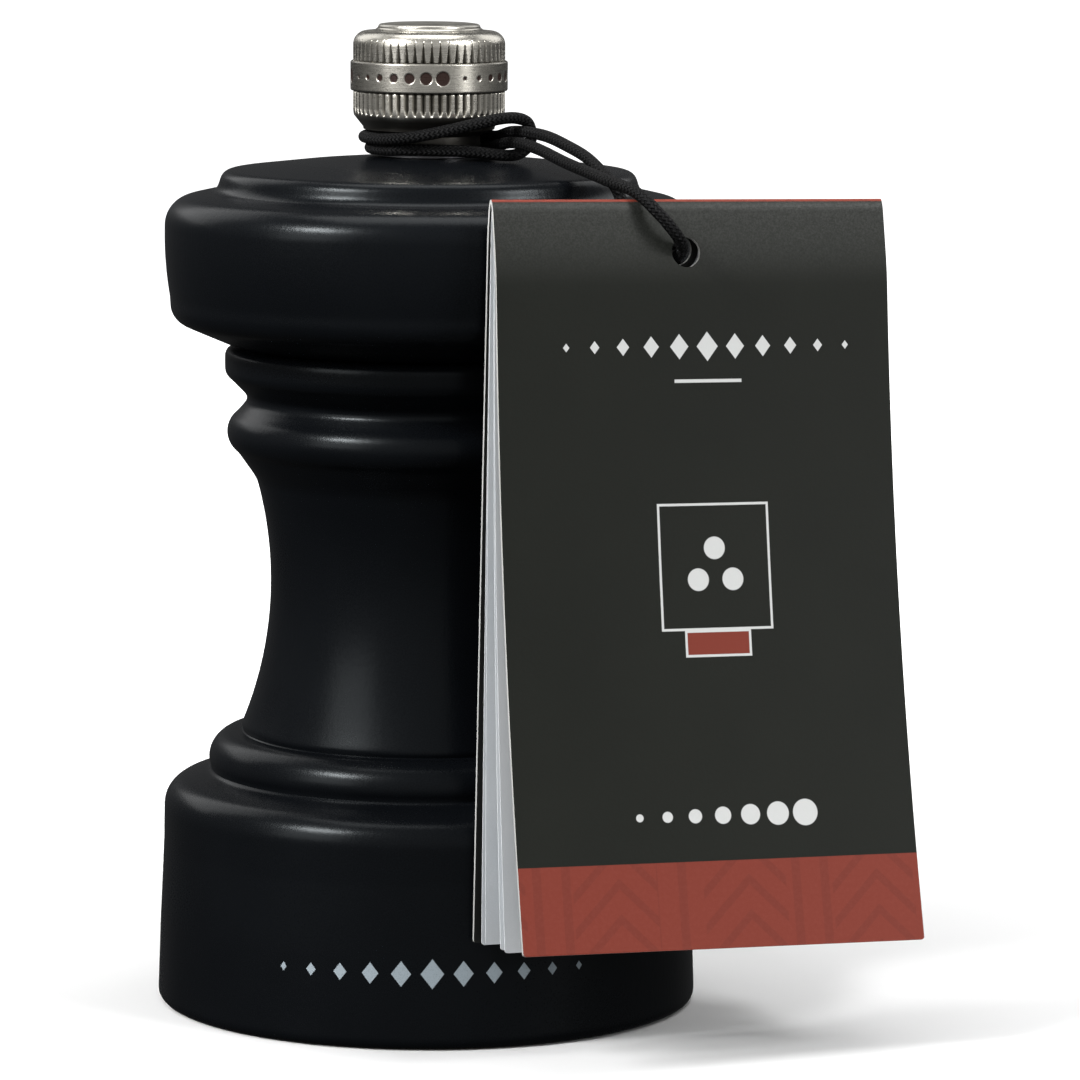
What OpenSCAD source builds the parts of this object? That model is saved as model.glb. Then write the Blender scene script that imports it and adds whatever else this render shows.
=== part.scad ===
// Hand-turned pepper mill: a painted wooden body and head, a metal adjusting knob,
// a spring-loaded grinding mechanism, and a folded card tag on an elastic cord.
// Millimetres, +Z up, origin at the centre of the base.

/* [Turned body] */
// Radius of the foot where it meets the table edge
foot_r = 28.7; // [28:0.1:30]
// Radius of the rounding under the foot
foot_round = 0.9; // [0.5:0.1:2]
// Narrowest radius of the waist
waist_r = 16.67; // [16.2:0.01:17.5]
// Height of the narrowest place of the waist
waist_z = 44.9; // [44:0.1:46]
// Radius of the concave curve of the waist
waist_curve = 40.5; // [38:0.5:44]
// Radius of the ring under the head
ring_r = 21.5; // [20.5:0.1:22]
// Height of the body's top face
body_top = 69.7; // [69.5:0.05:69.8]
// Radius of the peppercorn chamber
chamber_r = 12; // [11:0.25:12.5]

/* [Turned head] */
// Largest radius of the head
head_r = 27.82; // [27:0.01:28.1]
// Radius of the raised disc on the head
disc_r = 22; // [21:0.1:22.5]
// Height of the flat place under the knob
head_top = 89.85; // [89.7:0.05:89.9]
// Radius of the tenon that turns in the body
tenon_r = 13.92; // [13.8:0.01:13.95]
// Length of the tenon below the head
tenon_length = 7.45; // [6.5:0.05:8]

/* [Knob] */
// Radius over the crests of the flutes
knob_r = 8; // [7.8:0.05:8.1]
// Radius of the plain band
band_r = 8.28; // [8.2:0.01:8.5]
// Radius of the neck
neck_r = 5.4; // [5.3:0.05:5.5]
// Number of flutes round the knob
flutes = 56; // [40:2:64]
// Depth of a flute
flute_depth = 0.35; // [0.2:0.05:0.5]
// Overall height of the mill
mill_height = 104; // [103.8:0.1:104.5]

/* [Spindle] */
// Side of the square shaft
shaft_side = 5; // [4.8:0.05:5]
// Outer radius of the shaft's thread
thread_r = 2.45; // [2.4:0.01:2.46]
// Pitch of the thread
thread_pitch = 0.8; // [0.7:0.1:0.8]
// Play between the square shaft and a square hole, each side
square_play = 0.06; // [0.04:0.01:0.1]

/* [Grinding mechanism] */
// Outer radius of the mechanism's tube
tube_r = 14.8; // [14.5:0.05:14.85]
// Height of the flange's underside
flange_z = 6; // [5.8:0.1:6.2]
// Height of the top of the mechanism
tube_top = 28; // [27.5:0.1:28.2]
// Teeth on the grinding cone
rotor_teeth = 24; // [16:2:28]
// Teeth in the grinding ring
stator_teeth = 20; // [16:2:24]

/* [Tag] */
// Width of the tag
tag_width = 43.3; // [42:0.1:45]
// Length of the tag from fold to edge
tag_length = 76; // [73:0.1:77]
// Thickness of the cover card
card = 0.35; // [0.3:0.01:0.4]
// Diameter of the punched hole
tag_hole_d = 3.1; // [2.8:0.1:3.4]
// Diameter of the elastic cord
cord_d = 1.25; // [1.15:0.01:1.3]

/* [Hidden] */
$fn = 96;

// Clearances
skin = 0.1;           // gap between fixed pieces that only lie together
eps = 0.5;            // how far a cutter runs past a face

// Heights and radii inside the body
recess_r = 21.3;      // recess under the foot for the flange
flange_r = 21;
flange_t = 2;
tube_bore_r = tube_r + skin;
tube_bore_top = tube_top + eps;
socket_r = 14;        // bore that the head's tenon turns in
socket_floor = 61.5;
screw_circle_r = 18;
pilot_r = 1.25;
pilot_depth = 8;

// Head
head_bottom = body_top + 0.25;
tenon_bottom = head_bottom - tenon_length;
plate_t = 1.5;
plate_r = 11.2;
plate_z = 64.5;
plate_recess_r = 11.5;
head_bore_r = 4;
plate_screw_x = 7.6;
plate_screw_r = 1;
plate_screw_length = 7.5;
plate_hole_r = 1.1;
plate_sink_r = 2.1;

// Knob
knob_z = head_top + 0.55;       // underside of the neck
neck_top = 92.2;
cone_z = 92.7;                  // where the neck has widened to cone_r
cone_r = 6.85;
flute_z = 94.5;
band_z = 96.75;
band_top = 99.95;
flute_top = 102;
knob_shoulder_z = 103.4;
cap_r = 5.45;
cap_seat_z = 102.4;
nut_r = 4.05;
nut_z = 92.7;
nut_length = 5.4;
nut_hole_r = thread_r + 0.05;
knob_bore_r = thread_r + 0.55;  // room for the shaft's end above the nut
knob_bore_top = 101.3;
knob_washer_hole_r = 3.7;

// Spindle
shaft_bottom = 6;
square_top = 90;
shaft_top = 97.5;
clip_z = 7.02;
clip_t = 0.72;
clip_r = 4.5;
clip_gap = 3.4;
clip_eye_r = 0.75;
groove_r = 2.2;
washer_r = 5.5;
washer_hole_r = 3.65;
rotor_bottom = 8.6;
rotor_top = 17.6;
rotor_r = 9.2;
rotor_neck_r = 5.3;
square_hole = shaft_side + 2 * square_play;

// Grinding ring and housing
socket_bore_r = 12.9;           // bore of the tube round the ring
stator_z = 7.6;
stator_top = 15.4;
stator_bore_low_r = 10.24;      // the ring's bore narrows upwards, beside the rotor
stator_bore_high_r = 8.31;
retainer_bore_r = 10.7;
screw_hole_r = 1.35;            // holes for the housing's screws, and their countersinks
screw_sink_r = 2.5;
throat_r = 11.6;                // bore of the tube above the ring
arm_z = 25;
arm_w = 2.4;
hub_r = 5.8;
hub_bore_r = 4.46;
bush_r = 4.4;
bush_flange_z = 23.8;
bush_flange_r = 5.4;
bush_top = 28.8;
spring_r = 4.3;
spring_wire_r = 0.35;
spring_turns = 4.5;

// Tag: place of the middle of the fold, turn about Z, and tilt in its own plane
tag_place = [27, -20.9, 87];
tag_yaw = 22.2;
tag_tilt = 1.1;
tag_hole_x = -0.85;
tag_hole_z = -5.3;
leaf_t = 0.25;
cover_out = 14.6;               // how far the front cover's edge stands out
leaves_out = 8.2;

// The cord's wraps round the neck
upper_wrap_r = 6.85;
upper_wrap_z = 91.9;
lower_wrap_r = 6.2;
lower_wrap_z = 90.76;
cord_sides = 8;
knot_r = 1.55;
knot_place = [25, -18.6, 81.4];

// First tail: from the knot behind the tag, up over its back and to the knob
tail_in = [[24.9, -18.2, 82.1], [24, -18.2, 82.9], [22.8, -18.5, 83.7], [21.4, -19, 84.8],
           [20.3, -19.3, 86.1], [19.8, -18.8, 87.3], [19.2, -17.8, 88.3], [18, -16.1, 89.4],
           [16.5, -13.8, 90.7], [14.5, -11.2, 91.7], [12.4, -8.2, 92.5], [10.2, -5.4, 92.75],
           [8.6, -3.4, 92.65], [7.4, -1.4, 92.1]];
// Front of the upper wrap and the bend that the tails pass through
bight = [[-2.05, -7.2, 92.2], [0.7, -7.7, 92.7], [3.4, -7.5, 93.3], [6, -7.1, 93.9],
         [7.8, -6.2, 94.2], [9.2, -5.1, 94.2], [10.4, -4.2, 93.7], [10.8, -3.9, 92.3],
         [10.4, -4.1, 91.1], [9.4, -4.7, 90.4], [8.2, -5.3, 90.3], [6.6, -5.8, 90.45],
         [4.8, -6.1, 90.7], [2.5, -6.4, 90.8], [-0.2, -6.4, 90.85], [-2.6, -5.8, 90.85]];
// Second tail: from the knob over the fold of the tag, into the hole and to the knot
tail_out = [[6.65, -1.3, 90.9], [7.4, -3, 91.25], [8.5, -4.6, 91.6], [9.9, -6.4, 91.6],
            [11.8, -9.1, 91.1], [14.3, -13.1, 90.1], [17.1, -17.4, 89.2], [18.6, -19.7, 88.7],
            [20.1, -21.5, 88.3], [21.4, -23, 87.8], [22.4, -24, 87.1], [23.3, -24.6, 86.2],
            [24.3, -24.8, 85.2], [25.2, -24.6, 84.1], [25.9, -24, 83.1], [26.2, -23, 82.2],
            [26.1, -21.8, 81.6], [25.8, -20.5, 81.2], [25.4, -19.3, 81]];

// ---- outline helpers ----

// Points along an arc, in the (radius, height) plane
function arc(centre_r, centre_z, r, from, to, steps = 8) =
    [for (i = [0:steps]) let (a = from + (to - from) * i / steps)
        [centre_r + r * cos(a), centre_z + r * sin(a)]];

// The waist: one circular arc between two heights
function waist_side(z_low, z_high) =
    arc(waist_r + waist_curve, waist_z, waist_curve,
        180 + asin((waist_z - z_low) / waist_curve),
        180 - asin((z_high - waist_z) / waist_curve), 14);

// Gently crowned side: a parabola through the widest place
function crown(r, z_wide, z_from, z_to, drop, steps = 6) =
    [for (i = [0:steps]) let (z = z_from + (z_to - z_from) * i / steps)
        [r - drop * pow((z_wide - z) / (z_wide - z_from), 2), z]];

function unit(v) = v / norm(v);

// Tube of radius r swept along points, with flat ends
module swept_tube(path, r, sides) {
    last = len(path) - 1;
    tangents = [for (i = [0:last]) unit(path[min(i + 1, last)] - path[max(i - 1, 0)])];
    first = unit(cross(tangents[0], [0.3, 0.2, 1]));
    normals = [for (i = 0, v = first; i <= last;
                    i = i + 1, v = i <= last ? unit(v - (v * tangents[i]) * tangents[i]) : v) v];
    points = [for (i = [0:last]) let (u = normals[i], w = cross(tangents[i], u))
              for (k = [0:sides - 1]) let (a = 360 * k / sides)
                  path[i] + r * cos(a) * u + r * sin(a) * w];
    walls = [for (i = [0:last - 1], k = [0:sides - 1])
             let (a = i * sides + k, b = i * sides + (k + 1) % sides)
                 each [[a, b, b + sides], [a, b + sides, a + sides]]];
    start_cap = [for (k = [sides - 1:-1:0]) k];
    end_cap = [for (k = [0:sides - 1]) last * sides + k];
    polyhedron(points, concat([start_cap], walls, [end_cap]), convexity = 6);
}

// Countersunk screw that points up, its head's face at z = 0, with a cross slot
module countersunk_screw(head_r, shank_r, length) {
    slot_w = 0.35 * head_r;
    slot_depth = 0.45 * head_r;
    difference() {
        rotate_extrude()
            polygon([[0, 0], [head_r, 0], [head_r, 0.15], [shank_r, head_r - shank_r + 0.15],
                     [shank_r, length - shank_r], [0.2, length], [0, length]]);
        for (a = [0, 90])
            rotate([0, 0, a])
                translate([0, 0, slot_depth / 2 - eps])
                    cube([1.3 * head_r, slot_w, slot_depth + 2 * eps - 0.5], center = true);
    }
}

// V-grooves round a cone: radius r at height z, leaning with the cone and round it
module grooves(count, r, z, lean, helix, size, length) {
    for (i = [0:count - 1])
        rotate([0, 0, 360 * i / count])
            translate([r, 0, z])
                rotate([helix, lean, 0])
                    rotate([0, 0, 45])
                        cube([size, size, length], center = true);
}

// ---- wooden parts ----

function body_side() = concat(
    arc(foot_r - foot_round, foot_round, foot_round, -90, 0),
    [[foot_r - 0.3, 9.4], [foot_r - 0.65, 17]],
    arc(foot_r - 3.65, 20.85, 2.95, 0, 76),
    [[23.2, 24.55], [22.95, 24.8]],
    arc(20.4, 25.9, 2.85, -5, 78),
    [[19.5, 28.75]],
    waist_side(29.3, 55.6),
    [[18.5, 56.3]],
    arc(18.8, 60.75, 2.48, -56, 56),
    arc(20, 64.3, 0.85, 210, 145, 4),
    arc(20.3, 67.45, 1.2, -60, 0, 6),
    arc(ring_r - 0.8, body_top - 0.8, 0.8, 0, 90, 6));

module body() {
    color([0.05, 0.05, 0.055])
    difference() {
        rotate_extrude(convexity = 8)
            polygon(concat([[0, 0]], body_side(), [[0, body_top]]));
        translate([0, 0, -eps])
            cylinder(r = recess_r, h = flange_z + flange_t + eps);
        cylinder(r = tube_bore_r, h = tube_bore_top);
        cylinder(r = chamber_r, h = body_top);
        translate([0, 0, socket_floor])
            cylinder(r = socket_r, h = body_top);
        for (a = [30, 150, 270])
            rotate([0, 0, a])
                translate([screw_circle_r, 0, 0])
                    cylinder(r = pilot_r, h = flange_z + flange_t + pilot_depth + eps);
    }
}

function head_side() = concat(
    [[20.3, head_bottom], [21.5, 70.3]],
    arc(24.9, 74.3, 2.35, -68, -8, 6),
    crown(head_r, 81.5, 75, 82.4, 0.55),
    arc(head_r - 3.2, 82.55, 3.2, 5, 72),
    [[23.6, 86.05]],
    arc(23.3, 87.2, 1.2, 262, 190, 5),
    arc(disc_r - 1, 87.4, 1, 5, 84, 6),
    [[14, 89.2], [6.2, head_top]]);

module head() {
    color([0.05, 0.05, 0.055])
    difference() {
        rotate_extrude(convexity = 8)
            polygon(concat([[0, tenon_bottom], [tenon_r - 0.4, tenon_bottom],
                            [tenon_r, tenon_bottom + 0.4], [tenon_r, head_bottom]],
                           head_side(), [[0, head_top]]));
        translate([0, 0, tenon_bottom - eps])
            cylinder(r = plate_recess_r, h = plate_z + plate_t - tenon_bottom + eps);
        cylinder(r = head_bore_r, h = mill_height);
        for (side = [-1, 1])
            translate([side * plate_screw_x, 0, plate_z])
                cylinder(r = plate_screw_r + 0.05, h = plate_screw_length + eps);
    }
}

// ---- knob ----

// Section of a fluted ring
module fluted_disc(r) {
    step = 360 / flutes;
    polygon([for (i = [0:flutes - 1], p = [[0, r], [0.35, r], [0.55, r - flute_depth],
                                           [0.8, r - flute_depth]])
             let (a = (i + p[0]) * step) [p[1] * cos(a), p[1] * sin(a)]]);
}

module knob_body() {
    core_r = knob_r - flute_depth - 0.08;
    shoulder = 1.3;
    color([0.62, 0.6, 0.56])
    difference() {
        union() {
            rotate_extrude(convexity = 6)
                polygon(concat([[0, knob_z], [neck_r, knob_z], [neck_r, neck_top],
                                [cone_r, cone_z], [knob_r - 0.05, flute_z],
                                [core_r, flute_z + 0.05], [core_r, band_z],
                                [band_r, band_z], [band_r, band_top], [core_r, band_top],
                                [core_r, flute_top]],
                               arc(core_r - shoulder, flute_top, shoulder, 10, 80, 6),
                               [[cap_r, knob_shoulder_z], [0, knob_shoulder_z]]));
            for (span = [[flute_z, band_z], [band_top, flute_top]])
                translate([0, 0, span[0]])
                    linear_extrude(span[1] - span[0])
                        fluted_disc(knob_r);
        }
        translate([0, 0, knob_z - eps])
            cylinder(r = nut_r + 0.05, h = nut_z + nut_length + skin - knob_z + eps);
        cylinder(r = knob_bore_r, h = knob_bore_top);
        translate([0, 0, cap_seat_z])
            cylinder(r = cap_r, h = mill_height);
    }
}

module knob_cap() {
    edge = 0.45;
    r = cap_r - 0.05;
    color([0.68, 0.66, 0.62])
    rotate_extrude()
        polygon(concat([[0, cap_seat_z], [r, cap_seat_z]],
                       arc(r - edge, mill_height - 0.12 - edge, edge, 0, 80, 5),
                       [[0, mill_height]]));
}

module knob_nut() {
    color("goldenrod")
    difference() {
        translate([0, 0, nut_z])
            cylinder(r = nut_r, h = nut_length);
        cylinder(r = nut_hole_r, h = mill_height);
    }
}

module knob_washer() {
    color("silver")
    difference() {
        translate([0, 0, head_top + skin])
            cylinder(r = neck_r - 0.2, h = knob_z - head_top - 2 * skin + 0.05);
        cylinder(r = knob_washer_hole_r, h = mill_height);
    }
}

// ---- spindle ----

module shaft() {
    half = shaft_side / 2;
    thread_turns = floor((shaft_top - square_top - 1.5) / thread_pitch);
    thread_depth = 0.4;
    color([0.75, 0.76, 0.78])
    difference() {
        union() {
            translate([-half, -half, shaft_bottom])
                cube([shaft_side, shaft_side, square_top - shaft_bottom]);
            translate([0, 0, square_top - eps])
                cylinder(r = thread_r, h = shaft_top - square_top + eps);
        }
        translate([0, 0, clip_z - 0.03])
            difference() {
                cylinder(r = shaft_side, h = clip_t + 0.06);
                translate([0, 0, -eps])
                    cylinder(r = groove_r, h = clip_t + 2 * eps);
            }
        rotate_extrude()
            for (i = [0:thread_turns - 1])
                translate([0, square_top + 1.1 + i * thread_pitch])
                    polygon([[thread_r - thread_depth, 0], [thread_r + 0.1, -0.36],
                             [thread_r + 0.1, 0.36]]);
    }
}

module spindle_bush() {
    color([0.92, 0.92, 0.9])
    difference() {
        union() {
            translate([0, 0, bush_flange_z])
                cylinder(r = bush_flange_r, h = arm_z - skin - bush_flange_z);
            translate([0, 0, bush_flange_z])
                cylinder(r = bush_r, h = bush_top - bush_flange_z);
        }
        translate([-square_hole / 2, -square_hole / 2, 0])
            cube([square_hole, square_hole, mill_height]);
    }
}

module spring() {
    low = rotor_top + spring_wire_r + 0.02;
    high = bush_flange_z - spring_wire_r - 0.02;
    steps = 16 * spring_turns;
    color([0.7, 0.7, 0.72])
    swept_tube([for (i = [0:steps]) let (a = 360 * spring_turns * i / steps)
                [spring_r * cos(a), spring_r * sin(a), low + (high - low) * i / steps]],
               spring_wire_r, cord_sides);
}

module rotor() {
    color([0.42, 0.42, 0.44])
    difference() {
        rotate_extrude()
            polygon([[0, rotor_bottom], [rotor_r - 0.2, rotor_bottom],
                     [rotor_r, rotor_bottom + 0.3], [rotor_r, rotor_bottom + 0.6],
                     [rotor_r - 1, 13.5], [rotor_neck_r + 0.4, 15.6], [rotor_neck_r, 16],
                     [rotor_neck_r, rotor_top], [0, rotor_top]]);
        translate([-square_hole / 2, -square_hole / 2, 0])
            cube([square_hole, square_hole, mill_height]);
        grooves(rotor_teeth, 8.95, 11, -13, 18, 0.75, 8);
        grooves(6, 7.9, 15.2, -50, 24, 2, 7);
    }
}

module rotor_washer() {
    color("silver")
    difference() {
        translate([0, 0, clip_z + clip_t + 0.04])
            cylinder(r = washer_r, h = rotor_bottom - clip_z - clip_t - 0.06);
        cylinder(r = washer_hole_r, h = mill_height);
    }
}

module circlip() {
    color([0.3, 0.3, 0.32])
    translate([0, 0, clip_z])
        difference() {
            cylinder(r = clip_r, h = clip_t);
            translate([0, 0, -eps])
                cylinder(r = groove_r + 0.04, h = clip_t + 2 * eps);
            translate([0, -clip_gap / 2, -eps])
                cube([2 * clip_r, clip_gap, clip_t + 2 * eps]);
            for (a = [75, -75])
                rotate([0, 0, a])
                    translate([3, 0, -eps])
                        cylinder(r = clip_eye_r, h = clip_t + 2 * eps);
        }
}

// ---- grinding ring and housing ----

module stator() {
    color([0.42, 0.42, 0.44])
    difference() {
        translate([0, 0, stator_z])
            cylinder(r = socket_bore_r - skin, h = stator_top - stator_z);
        rotate_extrude()
            polygon([[0, stator_z - eps], [stator_bore_low_r, stator_z - eps],
                     [stator_bore_high_r, stator_top], [stator_bore_high_r, stator_top + eps],
                     [0, stator_top + eps]]);
        grooves(stator_teeth, 9.35, 11, -13, -18, 0.95, 14);
    }
}

module stator_retainer() {
    color([0.15, 0.15, 0.16])
    difference() {
        translate([0, 0, flange_z + 0.6])
            cylinder(r = socket_bore_r - 0.05, h = stator_z - flange_z - 0.65);
        cylinder(r = retainer_bore_r, h = mill_height);
    }
}

module mechanism_housing() {
    color([0.13, 0.13, 0.14])
    difference() {
        union() {
            difference() {
                union() {
                    translate([0, 0, flange_z])
                        cylinder(r = flange_r, h = flange_t);
                    translate([0, 0, flange_z])
                        cylinder(r = tube_r, h = tube_top - flange_z);
                }
                cylinder(r = socket_bore_r, h = stator_top + skin);
                cylinder(r = throat_r, h = mill_height);
            }
            translate([0, 0, arm_z])
                cylinder(r = hub_r, h = tube_top - arm_z);
            for (a = [60, 180, 300])
                rotate([0, 0, a])
                    translate([0, -arm_w / 2, arm_z])
                        cube([throat_r + 1, arm_w, tube_top - arm_z]);
        }
        cylinder(r = hub_bore_r, h = mill_height);
        for (a = [30, 150, 270])
            rotate([0, 0, a])
                translate([screw_circle_r, 0, flange_z - 0.01])
                    cylinder(r1 = screw_sink_r, r2 = screw_hole_r, h = 1.4);
        for (a = [30, 150, 270])
            rotate([0, 0, a])
                translate([screw_circle_r, 0, 0])
                    cylinder(r = screw_hole_r, h = tube_top);
    }
}

module housing_screws() {
    color([0.7, 0.71, 0.73])
    for (a = [30, 150, 270])
        rotate([0, 0, a])
            translate([screw_circle_r, 0, flange_z + 0.05])
                countersunk_screw(2.3, 1.2, 9.5);
}

module drive_plate() {
    color([0.66, 0.67, 0.7])
    difference() {
        translate([0, 0, plate_z])
            cylinder(r = plate_r, h = plate_t - 0.02);
        translate([-square_hole / 2, -square_hole / 2, 0])
            cube([square_hole, square_hole, mill_height]);
        for (side = [-1, 1])
            translate([side * plate_screw_x, 0, plate_z - 0.01])
                cylinder(r1 = plate_sink_r, r2 = plate_hole_r, h = 1.1);
        for (side = [-1, 1])
            translate([side * plate_screw_x, 0, 0])
                cylinder(r = plate_hole_r, h = mill_height);
    }
}

module drive_plate_screws() {
    color([0.7, 0.71, 0.73])
    for (side = [-1, 1])
        translate([side * plate_screw_x, 0, plate_z + 0.05])
            countersunk_screw(1.9, plate_screw_r, plate_screw_length);
}

// ---- tag and cord ----

// One panel of a folded sheet, hanging from the fold and bowed a little outwards:
// how far it stands out, and its height
function panel_line(out_top, out_edge, length) =
    let (drop = sqrt(pow(length, 2) - pow(out_edge - out_top, 2)))
    [for (i = [1:7]) let (t = i / 7)
        [out_top + (out_edge - out_top) * (0.45 * t + 0.55 * pow(t, 2)), -drop * t]];

// Closed section of a folded sheet: front and back panels with a lancet-shaped fold
module folded_sheet(front, back, apex, thick) {
    outer = concat([for (i = [len(back) - 1:-1:0]) back[i]], [apex], front);
    inner = concat([for (i = [len(front) - 1:-1:0]) front[i] - [thick, 0]],
                   [apex - [0, thick]], [for (p = back) p + [thick, 0]]);
    polygon(concat(outer, inner));
}

module in_tag_plane() {
    translate(tag_place)
        rotate([0, 0, tag_yaw])
            rotate([0, tag_tilt, 0])
                children();
}

// Extrudes a section drawn as [outward, up] across the tag's width, with the hole
module tag_sheet(width) {
    in_tag_plane()
        difference() {
            rotate([90, 0, -90])
                linear_extrude(width, center = true)
                    children();
            translate([tag_hole_x, 0, tag_hole_z])
                rotate([90, 0, 0])
                    cylinder(d = tag_hole_d, h = 12, center = true);
        }
}

module tag_cover() {
    front = concat([[0.05, -0.4], [0.5, -2], [1.05, -4.5]], panel_line(1, cover_out, tag_length));
    back = concat([[-0.8, -0.4], [-1.05, -2]], panel_line(-1.15, -0.85, tag_length));
    color([0.17, 0.18, 0.17])
    tag_sheet(tag_width)
        folded_sheet(front, back, [-0.4, 0], card);
}

module tag_leaves() {
    length = tag_length - 0.8;
    front = concat([[-0.03, -1.6], [0.1, -2.6]], panel_line(0.35, leaves_out, length));
    back = concat([[-0.58, -1.6], [-0.66, -2.6]], panel_line(-0.6, 1.5, length));
    color([0.86, 0.89, 0.92])
    tag_sheet(tag_width - 0.3)
        folded_sheet(front, back, [-0.31, -1.1], leaf_t);
}

// Angles at which the wraps round the back of the neck are sampled
wrap_angles = [for (a = [12:24:228]) a];

function cord_path() = concat(
    tail_in,
    [for (a = wrap_angles) [upper_wrap_r * cos(a), upper_wrap_r * sin(a), upper_wrap_z]],
    bight,
    [for (i = [len(wrap_angles) - 1:-1:0]) let (a = wrap_angles[i])
        [lower_wrap_r * cos(a), lower_wrap_r * sin(a), lower_wrap_z]],
    tail_out);

module tag_cord() {
    color([0.04, 0.04, 0.045])
    swept_tube(cord_path(), cord_d / 2, cord_sides);
}

module cord_knot() {
    color([0.04, 0.04, 0.045])
    translate(knot_place)
        sphere(r = knot_r);
}

body();
head();
knob_body();
knob_cap();
knob_nut();
knob_washer();
drive_plate();
drive_plate_screws();
shaft();
spindle_bush();
spring();
rotor();
rotor_washer();
circlip();
stator();
stator_retainer();
mechanism_housing();
housing_screws();
tag_cover();
tag_leaves();
tag_cord();
cord_knot();
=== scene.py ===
"""Looks of a turned pepper mill with a metal knob and a folded card tag on an elastic cord."""

import math

import bpy
import numpy as np
from mathutils import Matrix, Vector


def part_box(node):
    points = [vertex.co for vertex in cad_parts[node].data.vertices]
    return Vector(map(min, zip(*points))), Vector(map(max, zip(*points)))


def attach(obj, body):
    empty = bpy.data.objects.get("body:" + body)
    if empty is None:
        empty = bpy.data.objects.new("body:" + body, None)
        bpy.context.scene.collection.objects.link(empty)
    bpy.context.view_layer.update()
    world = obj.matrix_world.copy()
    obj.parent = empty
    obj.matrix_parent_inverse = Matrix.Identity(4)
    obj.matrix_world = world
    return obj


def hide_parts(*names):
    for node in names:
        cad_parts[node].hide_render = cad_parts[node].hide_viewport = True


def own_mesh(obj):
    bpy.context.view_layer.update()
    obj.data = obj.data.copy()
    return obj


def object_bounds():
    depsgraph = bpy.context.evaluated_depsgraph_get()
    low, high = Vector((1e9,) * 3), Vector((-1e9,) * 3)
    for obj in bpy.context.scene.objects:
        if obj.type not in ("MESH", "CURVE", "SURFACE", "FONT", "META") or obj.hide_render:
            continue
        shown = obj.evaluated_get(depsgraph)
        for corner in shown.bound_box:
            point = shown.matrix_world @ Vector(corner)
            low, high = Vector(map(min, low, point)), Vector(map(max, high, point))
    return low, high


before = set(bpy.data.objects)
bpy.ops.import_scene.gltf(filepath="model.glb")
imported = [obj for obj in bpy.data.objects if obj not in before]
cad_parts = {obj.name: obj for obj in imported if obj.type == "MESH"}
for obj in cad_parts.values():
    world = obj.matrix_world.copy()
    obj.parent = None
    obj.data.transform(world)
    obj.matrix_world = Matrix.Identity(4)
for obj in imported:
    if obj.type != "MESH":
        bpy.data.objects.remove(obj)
cad_low, cad_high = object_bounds()
MM = 0.001


# ---- camera: the photograph's view ----


CAMERA_PLACE = (11.94, -595.45, 127.73)
CAMERA_PITCH, CAMERA_ROLL = math.radians(7.521), math.radians(0.330)
SENSOR_WIDTH, LENS = 36, 188.32


def make_camera():
    data = bpy.data.cameras.new("camera")
    data.sensor_width = SENSOR_WIDTH
    data.lens = LENS
    data.clip_start, data.clip_end = 0.05, 20
    camera = bpy.data.objects.new("camera", data)
    tilt = Matrix.Rotation(math.pi / 2 - CAMERA_PITCH, 4, "X")
    turn = tilt @ Matrix.Rotation(CAMERA_ROLL, 4, "Z")
    camera.matrix_world = Matrix.Translation(Vector(CAMERA_PLACE) * MM) @ turn
    bpy.context.scene.collection.objects.link(camera)
    bpy.context.scene.camera = camera


make_camera()


# ---- node materials ----

# Sheet coordinates are kept in millimetres divided by this, and multiplied back in the nodes
UV_SCALE = 100
# Added to a coordinate before a repeating pattern, so that it's never below zero there
SHIFT = 200.0

# The ornament on the foot: azimuth in degrees, radius, height and width in millimetres
PRINT_AZIMUTH = -87.6
PRINT_RADIUS = 28.5
PRINT_Z = 8.0
PRINT_WIDTH = 35.4
PRINT_HALF_HEIGHT = 1.55
PRINT_BELOW = 12.0
# The card's layout, in millimetres across from its middle and down from its fold
STRIP_FROM = 67.6
FOLD_LINE_TO = (0.42, 0.52)
ORNAMENT_X, ORNAMENT_V = 1.2, 15.3
RULE_V = 18.8
BOX_X, BOX_V = 1.25, 37.7
BOX_DOTS = ((-1.9, 1.3), (1.9, 1.3), (0.0, -1.9))
BOX_DOT_R = 1.15
LABEL_DROP = 7.8
LINE_THICK = 0.2
DOTS_X, DOTS_V, DOTS_WIDTH = 0.65, 63.0, 21.0
# The cord's braid: strands round it, and millimetres along it for one turn
BRAID_STRANDS, BRAID_LAY = 8.0, 1.0


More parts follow.
